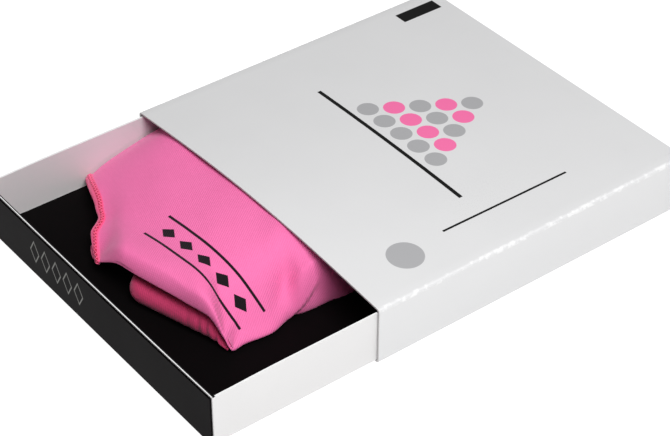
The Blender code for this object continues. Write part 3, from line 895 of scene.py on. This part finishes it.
@dataclass
class GloveForm:
    """The glove's drawn shape: where each point of its cloth lies."""

    left: float
    front: float
    floor_top: float
    width: float = 125.2 * MM
    length: float = 120.0 * MM
    height: float = 26.0 * MM
    cloth: float = 1.2 * MM
    edge_round: float = 2.6 * MM
    least_hollow: float = 0.3 * MM
    rest_gap: float = 0.25 * MM
    fit_gap: float = 0.3 * MM
    thumb_height: float = 9.4 * MM
    overhang: float = 3.0 * MM
    thumb_squeeze: float = 0.70
    thumb_nose: float = 5.0 * MM
    kink_push: float = 1.8 * MM
    lower_setback: float = 2.6 * MM
    drape_lead: float = 2.0 * MM
    end_fall: float = 26.0 * MM
    back_fall: float = 11.0 * MM
    tip_lead: float = -1.5 * MM
    tip_fall: float = 3.5 * MM
    blend_reach: float = 2.0 * MM
    crease_depth: float = 1.2 * MM
    crowding: float = 0.5
    wall_lean: float = 2.4 * MM
    crown: float = 4.4 * MM
    crown_width: float = 5.5 * MM
    crown_run: float = 30.0 * MM
    wave: float = 0.45 * MM
    ripple: float = 0.10 * MM

    # Each section's two ends in plan, its top's heights and how far it bows forward, as shares.
    COLUMNS: ClassVar[tuple[str, ...]] = (
        "left_x", "left_y", "right_x", "right_y", "top_0", "top_1", "top_2", "top_3", "top_4",
        "top_5", "push_1", "push_2", "push_3")
    SECTIONS: ClassVar[tuple[tuple[float, ...], ...]] = (
        (0.000, 0.222, 0.402, 0.000, 0.11, 0.22, 0.33, 0.33, 0.26, 0.12, 0.007, 0.020, -0.005),
        (0.000, 0.292, 0.482, 0.004, 0.28, 0.38, 0.44, 0.43, 0.36, 0.22, 0.005, 0.012, 0.006),
        (0.000, 0.367, 0.574, 0.014, 0.38, 0.51, 0.59, 0.59, 0.57, 0.53, 0.002, 0.004, 0.001),
        (0.000, 0.437, 0.687, 0.037, 0.46, 0.64, 0.71, 0.70, 0.66, 0.62, 0.000, 0.000, 0.000),
        (0.000, 0.504, 0.801, 0.066, 0.52, 0.76, 0.82, 0.80, 0.71, 0.62, 0.000, 0.000, 0.000),
        (0.000, 0.587, 0.922, 0.096, 0.55, 0.86, 0.90, 0.87, 0.75, 0.58, 0.000, 0.000, 0.000),
        (0.001, 0.630, 0.976, 0.115, 0.55, 0.88, 0.92, 0.91, 0.66, 0.14, 0.000, 0.000, 0.000),
        (0.003, 0.675, 0.976, 0.175, 0.54, 0.88, 0.93, 0.95, 0.72, 0.12, 0.000, 0.000, 0.000),
        (0.013, 0.746, 0.983, 0.268, 0.52, 0.87, 0.94, 0.98, 0.80, 0.12, 0.000, 0.000, 0.000),
        (0.038, 0.805, 0.953, 0.360, 0.50, 0.85, 0.94, 0.99, 0.94, 0.36, 0.000, 0.000, 0.000),
        (0.065, 0.850, 0.967, 0.412, 0.48, 0.83, 0.94, 0.99, 0.95, 0.72, 0.000, 0.000, 0.000),
        (0.100, 0.892, 0.972, 0.480, 0.46, 0.80, 0.92, 0.98, 0.95, 0.80, 0.000, 0.000, 0.000),
        (0.164, 0.946, 0.970, 0.640, 0.42, 0.70, 0.82, 0.90, 0.85, 0.70, 0.000, 0.000, 0.000),
        (0.253, 0.996, 0.964, 0.827, 0.36, 0.48, 0.54, 0.55, 0.52, 0.45, 0.000, 0.000, 0.000),
    )
    THUMB_END: ClassVar[Pair] = (0.590, -0.006)
    THUMB_TIP: ClassVar[Pair] = (0.968, 0.112)
    THUMB_BACK_END: ClassVar[Pair] = (0.458, 0.152)
    THUMB_BACK_TIP: ClassVar[Pair] = (0.880, 0.270)
    THUMB_TAPER: ClassVar[Ramp] = Ramp(0.80, 0.18)
    # Along the tube, by the number of the section.
    WRIST: ClassVar[Ramp] = Ramp(0.0, 2.0)
    CROWN_START: ClassVar[Ramp] = Ramp(0.3, 1.7)
    CROWN_END: ClassVar[Ramp] = Ramp(4.4, 1.4)
    LEAN_START: ClassVar[Ramp] = Ramp(7.5, 1.5)
    # Across a section, by the share of its width.
    KINK_PLACE: ClassVar[float] = 0.62
    KINK_REACH: ClassVar[float] = 0.13
    SETBACK_END: ClassVar[Ramp] = Ramp(0.55, 0.25)
    LEAN_ACROSS: ClassVar[Ramp] = Ramp(0.90, 0.08)
    # The size of a wave and the place in the noise that it is read from.
    WAVES: ClassVar[tuple[float, Vector]] = (26 * MM, Vector((3.1, 7.7, 0.4)))
    RIPPLES: ClassVar[tuple[float, Vector]] = (8 * MM, Vector((11.2, 1.7, 5.0)))
    # The fold's two ends by shares of the length and height, and where it starts and fades.
    CREASE_FOOT: ClassVar[Pair] = (0.366, 0.03)
    CREASE_HEAD: ClassVar[Pair] = (0.463, 0.47)
    CREASE_SIDE: ClassVar[Ramp] = Ramp(0.8, 0.125)
    CREASE_STEP: ClassVar[Ramp] = Ramp(0.0, 0.8 * MM)
    CREASE_FADE: ClassVar[Ramp] = Ramp(12 * MM, 6 * MM)
    CREASE_START: ClassVar[Ramp] = Ramp(-0.125, 0.25)
    CREASE_END: ClassVar[Ramp] = Ramp(0.8, 0.5)

    @property
    def rest(self) -> float:
        """The height that the cloth lies at."""
        return self.floor_top + self.rest_gap

    @property
    def last(self) -> int:
        """The number of the last section."""
        return len(self.SECTIONS) - 1

    @staticmethod
    def read(values: Sequence[float], at: float) -> float:
        """Reads a list at a fractional place, with a smooth curve through its numbers.

        Args:
            values: The numbers.
            at: The place.

        Returns:
            The number there.
        """
        last = len(values) - 1
        i = min(int(at), last - 1)
        f = at - i
        a, b, c, d = values[max(i - 1, 0)], values[i], values[i + 1], values[min(i + 2, last)]
        rise_b = (c - a) / 2
        rise_c = (d - b) / 2
        return ((2 * f**3 - 3 * f**2 + 1) * b + (f**3 - 2 * f**2 + f) * rise_b
                + (3 * f**2 - 2 * f**3) * c + (f**3 - f**2) * rise_c)

    def value(self, column: str, at: float) -> float:
        """One column of the sections at a fractional section."""
        number = self.COLUMNS.index(column)
        return self.read([row[number] for row in self.SECTIONS], at)

    def plan(self, shares: Sequence[float]) -> Vector:
        """A place in plan from its shares of the glove's width and length."""
        return Vector((self.left + self.width * shares[0], self.front + self.length * shares[1]))

    def ends(self, at: float) -> tuple[Vector, Vector]:
        """A section's two ends in plan."""
        return (self.plan((self.value("left_x", at), self.value("left_y", at))),
                self.plan((self.value("right_x", at), self.value("right_y", at))))

    def thumb_chord(self, share: float) -> tuple[Vector, Vector]:
        """The folded thumb's side edges, a share of the way under the palm."""
        return (self.plan(self.THUMB_END).lerp(self.plan(self.THUMB_BACK_END), share),
                self.plan(self.THUMB_TIP).lerp(self.plan(self.THUMB_BACK_TIP), share))

    def thumb_depth(self) -> float:
        """How far the folded thumb reaches under the palm."""
        front = self.thumb_chord(0.0)
        back = self.thumb_chord(1.0)
        return (back[0] + back[1] - front[0] - front[1]).length / 2

    def thumb_rise(self, along: float) -> float:
        """The folded thumb's height at a share of its length."""
        return self.thumb_height * (1 - self.thumb_squeeze * self.THUMB_TAPER.up(along))

    def lower(self, x: float, y: float) -> float:
        """The height of the palm's lower layer.

        Args:
            x: The place across the box.
            y: The place along the box.

        Returns:
            The height, lifted where the layer drapes over the folded thumb.
        """
        spot = Vector((x, y))
        front_end, front_tip = self.thumb_chord(0.0)
        along = (front_tip - front_end).normalized()
        reach = (spot - front_end).dot(Vector((-along.y, along.x)))
        end, tip = self.thumb_chord(min(max(reach / self.thumb_depth(), 0.0), 1.0))
        before = (end - spot).dot(along)
        back_end, back_tip = self.thumb_chord(1.0)
        back_along = (back_tip - back_end).normalized()
        behind = (spot - back_end).dot(Vector((-back_along.y, back_along.x)))
        draped = Ramp(self.drape_lead, self.end_fall).down(before)
        draped *= Ramp(self.drape_lead, self.back_fall).down(behind)
        tucked = Ramp(self.tip_lead, self.tip_fall).down((spot - tip).dot(along))
        lift = self.thumb_rise((spot - end).dot(along) / (tip - end).length) + self.overhang
        return self.rest + lift * draped * tucked

    def palm_point(self, at: float, across: float, share: float) -> Vector:
        """A point of the palm tube's outside.

        Args:
            at: The fractional section.
            across: How far across the section from its little-finger end.
            share: The height, from -1 on the lower layer to 1 on the upper.

        Returns:
            The point.
        """
        left, right = self.ends(at)
        width = (right - left).length
        chord = (right - left) / width
        forward = Vector((-chord.y, chord.x))
        gone = min(max(across / width, 0.0), 1.0)
        crowded = gone + self.crowding * math.sin(2 * math.pi * gone) / (2 * math.pi)
        pushes = [0.0, *(self.value(f"push_{i}", at) for i in (1, 2, 3)), 0.0]
        push = self.length * self.read(pushes, gone * (len(pushes) - 1))
        kink = bump_at(gone, self.KINK_PLACE, self.KINK_REACH) * self.WRIST.down(at)
        under = (1 - share) / 2 * self.WRIST.down(at) * self.SETBACK_END.down(gone)
        lean = self.wall_lean * share * self.LEAN_ACROSS.up(gone) * self.LEAN_START.up(at)
        push += self.kink_push * kink + self.lower_setback * under
        spot = left + chord * (across - lean) + forward * push
        low = self.lower(spot.x, spot.y)
        tops = [self.value(f"top_{i}", at) for i in range(6)]
        top = self.floor_top + self.height * self.read(tops, crowded * (len(tops) - 1))
        least = low + 2 * self.cloth + self.least_hollow
        near = max(self.blend_reach - abs(top - least), 0.0)
        high = max(top, least) + near * near / (4 * self.blend_reach)
        high += self.crowned(at, width - across)
        point = Vector((spot.x, spot.y, (low + high) / 2 + share * (high - low) / 2))
        return point + self.relief(point, share) + self.crease(point)

    def crowned(self, at: float, inside: float) -> float:
        """How far the upper layer swells just inside the edge that hangs over the thumb.

        Args:
            at: The fractional section.
            inside: The distance from the thumb end of the section.

        Returns:
            The rise.
        """
        near = 1 - min(inside / self.crown_width, 1.0)
        swell = math.sqrt(1 - near * near) * Ramp(self.crown_width, self.crown_run).down(inside)
        return self.crown * swell * self.CROWN_START.up(at) * self.CROWN_END.down(at)

    def relief(self, point: Vector, share: float) -> Vector:
        """The small waves of slack cloth on the upper layer.

        Args:
            point: The point before them.
            share: Its height in the tube, from -1 to 1.

        Returns:
            How far the point moves.
        """
        wide = noise.noise(Vector((point.x, point.y, 0.0)) / self.WAVES[0] + self.WAVES[1])
        close = noise.noise(point / self.RIPPLES[0] + self.RIPPLES[1])
        rise = self.wave * wide + self.ripple * close
        return Vector((0.0, 0.0, rise * max(share, 0.0)))

    def crease(self, point: Vector) -> Vector:
        """The sharp fold that climbs the thumb side from the floor.

        Args:
            point: The point before it, whose side of the fold counts.

        Returns:
            How far the point moves in.
        """
        foot, head = (Vector((self.front + self.length * along, self.floor_top + self.height * up))
                      for along, up in (self.CREASE_FOOT, self.CREASE_HEAD))
        run = (head - foot).normalized()
        spot = Vector((point.y, point.z)) - foot
        under = spot.dot(Vector((run.y, -run.x)))
        along = spot.dot(run) / (head - foot).length
        side = self.CREASE_SIDE.up((point.x - self.left) / self.width)
        step = self.CREASE_STEP.up(under) * self.CREASE_FADE.down(under)
        step *= self.CREASE_START.up(along) * self.CREASE_END.down(along)
        return Vector((-self.crease_depth * step * side, 0.0, 0.0))

    def section_at(self, distance: float) -> float:
        """The fractional section that lies a distance from the hem, along the tube's middle."""
        at = gone = 0.0
        step = 0.01
        while at < self.last and gone < distance:
            here = self.ends(at)
            there = self.ends(at + step)
            gone += (there[0] + there[1] - here[0] - here[1]).length / 2
            at += step
        return at


@dataclass
class RingPath:
    """The way round a flattened tube, from the middle of its lower layer over its left side."""

    width: float
    end_round: float
    lower_share: float = 0.22
    arc_share: float = 0.08
    thumb_round: float = 0.0

    def spot(self, turn: float) -> tuple[float, float]:
        """A point of the ring.

        Args:
            turn: The share of the way round.

        Returns:
            How far it lies across the width, and its share of the half height.
        """
        side = -1.0 if turn < 0.5 else 1.0
        gone = abs(turn - 0.5)
        upper = 0.5 - self.lower_share - self.arc_share
        half = self.width / 2
        end_round = max(self.end_round, self.thumb_round) if side > 0 else self.end_round
        straight = half - end_round
        if gone <= upper:
            return half + side * straight * gone / upper, 1.0
        if gone <= upper + self.arc_share:
            angle = math.pi * (gone - upper) / self.arc_share
            return half + side * (straight + end_round * math.sin(angle)), math.cos(angle)
        back = (0.5 - gone) / self.lower_share
        return half + side * straight * back, -1.0


@dataclass
class Glove:
    """The glove: its palm tube, hem, folded thumb and finger stalls."""

    form: GloveForm
    thumb_side_round: float = 6.5 * MM
    thumb_depth_power: float = 1.5
    thumb_corner: float = 5.0 * MM
    thumb_edge_round: float = 4.0 * MM
    hem_length: float = 4.2 * MM
    hem_round: float = 1.5 * MM
    hem_sink: float = 0.35
    hem_girth: float = 10.0 * MM
    stitch: float = 1.7 * MM
    stitch_turn: float = 0.32
    stitch_swing: float = 0.055
    thread_round: float = 0.21 * MM
    stall_width: float = 25.0 * MM
    stall_depth: float = 4.6 * MM
    stall_gap: float = 1.0 * MM
    stall_edge_round: float = 2.0 * MM
    stall_end_gap: float = 1.2 * MM
    middle_stall_at: float = 0.545
    index_stall_at: float = 0.850

    PALM_GRID: ClassVar[tuple[int, int]] = (240, 190)
    HEM_GRID: ClassVar[tuple[int, int]] = (320, 20)
    THUMB_GRID: ClassVar[tuple[int, int]] = (200, 60)
    THREAD_SIDES: ClassVar[int] = 6
    THREAD_ENDS: ClassVar[Pair] = (0.24, 0.78)
    THREAD_PROUD: ClassVar[float] = 0.4
    THREAD_FLAT: ClassVar[float] = 0.3 * MM
    STALL_GRID: ClassVar[tuple[int, int, int]] = (72, 14, 16)
    STALL_FLAT: ClassVar[float] = 30 * MM
    STALL_LOWER: ClassVar[float] = 0.25
    INNER_CLOTH: ClassVar[float] = 0.8
    THUMB_SIDE: ClassVar[Ramp] = Ramp(3.0, 2.0)
    THUMB_FLAT: ClassVar[float] = 8 * MM
    THUMB_LOWER: ClassVar[float] = 0.21
    # Each wrinkle's place along the thumb, its reach and its depth.
    WRINKLES: ClassVar[tuple[tuple[float, float, float], ...]] = (
        (0.60, 0.040, 0.30 * MM), (0.71, 0.035, 0.50 * MM), (0.79, 0.035, 0.60 * MM),
        (0.875, 0.035, 0.80 * MM))
    WRINKLE_LEAN: ClassVar[float] = 0.012
    WRINKLE_DROP: ClassVar[float] = 0.3
    WRINKLE_FRONT: ClassVar[Ramp] = Ramp(0.6, 0.4)
    WRINKLE_SINK: ClassVar[Ramp] = Ramp(0.8, 0.2)

    def ring_row(self, at: float, steps: int) -> list[tuple[Vector, Vector]]:
        """One section of the palm tube.

        Args:
            at: The fractional section.
            steps: The number of faces round it.

        Returns:
            Each point with its place on the flat cloth.
        """
        left, right = self.form.ends(at)
        thumb_round = self.thumb_side_round * self.THUMB_SIDE.down(at)
        path = RingPath((right - left).length, self.form.edge_round, thumb_round=thumb_round)
        chord = (right - left).normalized()
        spots = [self.form.palm_point(at, *path.spot(i / steps)) for i in range(steps + 1)]
        lengths = [0.0]
        for first, second in zip(spots, spots[1:]):
            lengths.append(lengths[-1] + (second - first).length)
        centre = (left + right) / 2 - chord * lengths[steps // 2]
        return [(point, centre + chord * length) for point, length in zip(spots, lengths)]

    def build_palm(self, cloth: bpy.types.Material) -> bpy.types.Object:
        """Draws the palm tube.

        Args:
            cloth: The cloth.

        Returns:
            The palm.
        """
        across, along = self.PALM_GRID
        start = self.form.section_at(self.hem_length / 2)
        step = (self.form.last - start) / along
        rows = [self.ring_row(start + step * i, across) for i in range(along + 1)]
        bm = drawn_grid(across, along, lambda u, v: rows[round(v * along)][round(u * across)])
        thing = piece(bm, "palm_cloth", [cloth], ["glove_body"])
        thicken(thing, self.form.cloth)
        return thing

    def hem_edges(self, across: int) -> tuple[list[Vector], list[Vector]]:
        """The wrist's edge and the hem's far edge, point by point round the ring.

        Args:
            across: The number of faces round the ring.

        Returns:
            The points of the two edges.
        """
        first = self.ring_row(0.0, across)
        second = self.ring_row(self.form.section_at(self.hem_length), across)
        return [point for point, _ in first], [point for point, _ in second]

    def hem_spot(self, edges: tuple[list[Vector], list[Vector]], at: float, turn: float,
                 proud: float = 0.0) -> Vector:
        """A point of the roll round the wrist's edge.

        Args:
            edges: The wrist's edge and the hem's far edge.
            at: The fractional place along them.
            turn: The share of the way round the roll, from the wrist's edge over the top.
            proud: How far the point stands off the roll.

        Returns:
            The point.
        """
        near_edge, far_edge = edges
        last = len(near_edge) - 1
        i = min(int(at), last - 1)
        near = near_edge[i].lerp(near_edge[i + 1], at - i)
        far = far_edge[i].lerp(far_edge[i + 1], at - i)
        inward = (far - near).normalized()
        side = (near_edge[min(i + 2, last)] - near_edge[max(i - 1, 0)]).normalized()
        up = side.cross(inward).normalized()
        angle = 2 * math.pi * turn
        reach = self.hem_length / 2
        rise = (self.hem_round + proud) * math.sin(angle) - self.hem_round * self.hem_sink
        return near + inward * (reach - (reach + proud) * math.cos(angle)) + up * rise

    def build_hem(self, cloth: bpy.types.Material) -> bpy.types.Object:
        """Draws the rolled hem.

        Args:
            cloth: The hem's cloth.

        Returns:
            The hem.
        """
        across, around = self.HEM_GRID
        edges = self.hem_edges(across)
        length = sum((b - a).length for a, b in zip(edges[0], edges[0][1:]))

        def roll(u: float, v: float) -> tuple[Vector, Vector]:
            """A point of the roll, with its flat place along and round it."""
            return self.hem_spot(edges, u * across, v), Vector((u * length, v * self.hem_girth))

        bm = drawn_grid(across, around, roll)
        return piece(bm, "hem_roll", [cloth], ["cuff_hem"])

    def build_thread(self, cloth: bpy.types.Material) -> bpy.types.Object:
        """Lays the zigzag of thread that holds the hem, on the side that shows.

        Args:
            cloth: The thread's finish.

        Returns:
            The thread.
        """
        across = self.HEM_GRID[0]
        edges = self.hem_edges(across)
        first, last = (share * across for share in self.THREAD_ENDS)
        sewn = edges[0][int(first):int(last)]
        length = sum((b - a).length for a, b in zip(sewn, sewn[1:]))
        steps = 4 * round(length / self.stitch)
        path = []
        for k in range(steps + 1):
            turn = self.stitch_turn + self.stitch_swing * (1 - abs(k % 4 - 2))
            place = first + (last - first) * k / steps
            path.append(self.hem_spot(edges, place, turn, self.thread_round * self.THREAD_PROUD))

        def strand(u: float, v: float) -> tuple[Vector, Vector]:
            """A point of the thread's round."""
            k = round(v * steps)
            ahead = (path[min(k + 1, steps)] - path[max(k - 1, 0)]).normalized()
            side = ahead.cross(Vector((0.0, 0.0, 1.0))).normalized()
            angle = 2 * math.pi * u
            out = side * math.cos(angle) + side.cross(ahead) * math.sin(angle)
            ends = 0.0 if k in (0, steps) else self.thread_round
            return path[k] + out * ends, Vector((u * MM, k * self.THREAD_FLAT))

        bm = drawn_grid(self.THREAD_SIDES, steps, strand)
        return piece(bm, "hem_thread", [cloth])

    def build_thumb(self, cloth: bpy.types.Material) -> bpy.types.Object:
        """Draws the folded thumb.

        Args:
            cloth: The cloth.

        Returns:
            The thumb.
        """
        form = self.form
        across, along = self.THUMB_GRID
        depth = form.thumb_depth()
        rows = []
        for j in range(along + 1):
            gone = depth * (j / along) ** self.thumb_depth_power
            end, tip = form.thumb_chord(gone / depth)
            width = (tip - end).length
            chord = (tip - end) / width
            forward = Vector((-chord.y, chord.x))
            nose = min(gone / form.thumb_nose, 1.0)
            swell = math.sqrt(max(1 - (1 - nose) ** 2, 0.0))
            corner = self.thumb_corner * (1 - swell)
            path = RingPath(width - corner, self.thumb_edge_round, self.THUMB_LOWER)
            row = []
            for i in range(across + 1):
                far, share = path.spot(i / across)
                far += corner
                at = min(max(far / width, 0.0), 1.0)
                lean = self.WRINKLE_LEAN * share * swell
                dent = sum(sink * bump_at(at + lean, middle, reach)
                           for middle, reach, sink in self.WRINKLES)
                push = dent * (1 - swell * abs(share) / 2) * self.WRINKLE_FRONT.down(nose)
                spot = end + chord * far + forward * push
                drop = dent * self.WRINKLE_DROP * self.WRINKLE_SINK.down(nose)
                half = form.thumb_rise(at) / 2 - drop
                height = form.rest + half + share * half * swell
                flat = Vector((spot.x, spot.y + share * self.THUMB_FLAT))
                row.append((Vector((spot.x, spot.y, height)), flat))
            rows.append(row)
        bm = drawn_grid(across, along, lambda u, v: rows[round(v * along)][round(u * across)])
        thing = piece(bm, "thumb_cloth", [cloth], ["thumb_stall"])
        thicken(thing, form.cloth * self.INNER_CLOTH)
        return thing

    def build_stall(self, name: str, node: str, share: float, back: float,
                    cloth: bpy.types.Material) -> bpy.types.Object:
        """Draws a finger stall, turned under once.

        Args:
            name: The piece's name.
            node: The solid that it stands for.
            share: Where it leaves the knuckle edge.
            back: The y of the tray's back wall's inside.
            cloth: The cloth.

        Returns:
            The stall.
        """
        form = self.form
        left, right = form.ends(form.last)
        chord = (right - left).normalized()
        forward = Vector((-chord.y, chord.x))
        start = left + (right - left) * share + forward * form.fit_gap
        depth = self.stall_depth
        low = form.rest + depth / 2
        turn_radius = (depth + self.stall_gap) / 2
        corner = self.stall_width / 2 * abs(chord.y)
        run = (back - start.y - corner) / forward.y - turn_radius - depth / 2
        path = RingPath(self.stall_width, self.stall_edge_round, self.STALL_LOWER)
        across, straight, curve = self.STALL_GRID
        arc = math.pi * turn_radius

        def place(u: float, v: float) -> tuple[Vector, Vector]:
            """A point of the stall: out, round the fold, and back beneath."""
            step = v * (2 * straight + curve)
            bend = min(max((step - straight) / curve, 0.0), 1.0)
            turn = math.pi * (0.5 - bend)
            ahead = min(step / straight, 1.0)
            behind = max((step - straight - curve) / straight, 0.0)
            gone = run * (ahead - behind) + self.stall_end_gap * behind
            gone += turn_radius * math.cos(turn)
            height = low + turn_radius * (1 + math.sin(turn))
            far, level = path.spot(u)
            reach = level * depth / 2
            plan = start + chord * (far - self.stall_width / 2)
            plan += forward * (gone + math.cos(turn) * reach)
            flat = Vector((far + level * self.STALL_FLAT, run * (ahead + behind) + arc * bend))
            return Vector((plan.x, plan.y, height + math.sin(turn) * reach)), flat

        bm = drawn_grid(across, 2 * straight + curve, place)
        thing = piece(bm, name, [cloth], [node])
        thicken(thing, form.cloth * self.INNER_CLOTH)
        return thing


# ---- the studio


@dataclass
class Studio:
    """The camera, the floor and the light."""

    spot: tuple[float, float, float] = (0.5210208, -0.4026228, 0.5149568)
    yaw: float = -52.31085
    pitch: float = -38.02531
    roll: float = 0.15340
    lens: float = 109.947
    floor_tone: float = 0.30
    floor_glow: float = 0.72
    room_glow: float = 0.20
    key_spot: tuple[float, float, float] = (0.66, -0.24, 1.12)
    key_size: float = 0.7
    key_power: float = 15.2

    def camera(self) -> None:
        """Places the camera at the photograph's viewing angle."""
        yaw, pitch, roll = (math.radians(a) for a in (self.yaw, self.pitch, self.roll))
        ahead = Vector((math.cos(pitch) * math.sin(yaw), math.cos(pitch) * math.cos(yaw),
                        math.sin(pitch)))
        right = Vector((math.cos(yaw), -math.sin(yaw), 0.0))
        up = right.cross(ahead)
        across = right * math.cos(roll) + up * math.sin(roll)
        above = up * math.cos(roll) - right * math.sin(roll)
        data = bpy.data.cameras.new("camera")
        data.lens = self.lens
        data.sensor_width = 36.0
        data.clip_start = 0.01
        thing = bpy.data.objects.new("camera", data)
        turn = Matrix((across, above, -ahead)).transposed().to_4x4()
        thing.matrix_world = Matrix.Translation(self.spot) @ turn
        bpy.context.scene.collection.objects.link(thing)
        bpy.context.scene.camera = thing

    def floor(self) -> None:
        """Lays the pale floor."""
        bm = bmesh.new()
        bmesh.ops.create_grid(bm, x_segments=1, y_segments=1, size=4.0,
                              matrix=Matrix.Translation((0.0, 0.0, -0.3 * MM)))
        mesh = bpy.data.meshes.new("floor")
        bm.to_mesh(mesh)
        bm.free()
        shader = Shader("floor_white")
        shader.give({
            "Base Color": rgba(*[self.floor_tone] * 3), "Roughness": 0.9,
            "Emission Color": rgba(1.0, 1.0, 1.0), "Emission Strength": self.floor_glow})
        mesh.materials.append(shader.material)
        thing = bpy.data.objects.new("floor", mesh)
        bpy.context.scene.collection.objects.link(thing)

    def lights(self) -> None:
        """Lights the room and hangs one soft panel that faces the box."""
        world = bpy.data.worlds.new("room")
        world.use_nodes = True
        sky = world.node_tree.nodes["Background"].inputs
        sky["Color"].default_value = rgba(1.0, 1.0, 1.0)
        sky["Strength"].default_value = self.room_glow
        bpy.context.scene.world = world
        data = bpy.data.lights.new("key", "AREA")
        data.shape = "SQUARE"
        data.size = self.key_size
        data.energy = self.key_power
        thing = bpy.data.objects.new("key", data)
        turn = Vector(self.key_spot).to_track_quat("Z", "Y").to_matrix().to_4x4()
        thing.matrix_world = Matrix.Translation(self.key_spot) @ turn
        bpy.context.scene.collection.objects.link(thing)

    def build(self) -> None:
        """Sets up the studio."""
        view = bpy.context.scene.view_settings
        view.view_transform = "Standard"
        view.look = "Medium High Contrast"
        self.camera()
        self.floor()
        self.lights()


# Each cloth's lighter and darker colour.
PINK = ((0.91, 0.225, 0.48), (0.82, 0.178, 0.40))
# Painted shade: the folded thumb is the same pink cloth with darker, deeper colours, standing in
# for the shade under the palm's overhanging edge.
PINK_IN_PAINTED_SHADE = ((0.60, 0.066, 0.175), (0.46, 0.047, 0.13))
HEM_PINK = ((0.96, 0.165, 0.35), (0.85, 0.10, 0.235))
THREAD_PINK = ((1.0, 0.22, 0.40), (0.95, 0.13, 0.28))
SIDE_GAP = 0.3 * MM
FRONT_GAP = 16.8 * MM


def main() -> None:
    """Builds each part of the box and the glove, and reports it."""
    logging.basicConfig(level=logging.INFO, format="%(message)s")
    Studio().build()
    Sleeve(*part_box("sleeve")).build()
    tray_low, tray_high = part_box("tray")
    tray = Tray(tray_low, tray_high)
    tray.build()
    tray.build_panel(*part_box("front_panel"))
    floor_low, floor_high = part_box("floor_card")
    tray.build_floor(floor_low, floor_high)
    wall = tray.card + SIDE_GAP
    form = GloveForm(tray_low.x + wall, tray_low.y + tray.card + FRONT_GAP, floor_high.z)
    glove = Glove(form)
    glove.build_palm(ClothFinish("pink_rib", *PINK, marked=True).make())
    # The hem's cloth has a painted shade line where the stitches pull it in.
    glove.build_hem(ClothFinish("hem_rib", *HEM_PINK, rib=0.6 * MM,
                                shaded_groove_at=glove.stitch_turn * glove.hem_girth).make())
    glove.build_thread(ClothFinish("hem_strand", *THREAD_PINK, rib=0.3 * MM).make())
    # The thumb gets the shade-darkened copy of the pink cloth, which is painted shade.
    glove.build_thumb(ClothFinish("pink_rib_painted_shade", *PINK_IN_PAINTED_SHADE).make())
    plain = ClothFinish("pink_rib_plain", *PINK).make()
    back = tray_high.y - wall
    glove.build_stall("middle_stall_cloth", "middle_stall", glove.middle_stall_at, back, plain)
    glove.build_stall("index_stall_cloth", "index_stall", glove.index_stall_at, back, plain)


if __name__ == "__main__":
    main()
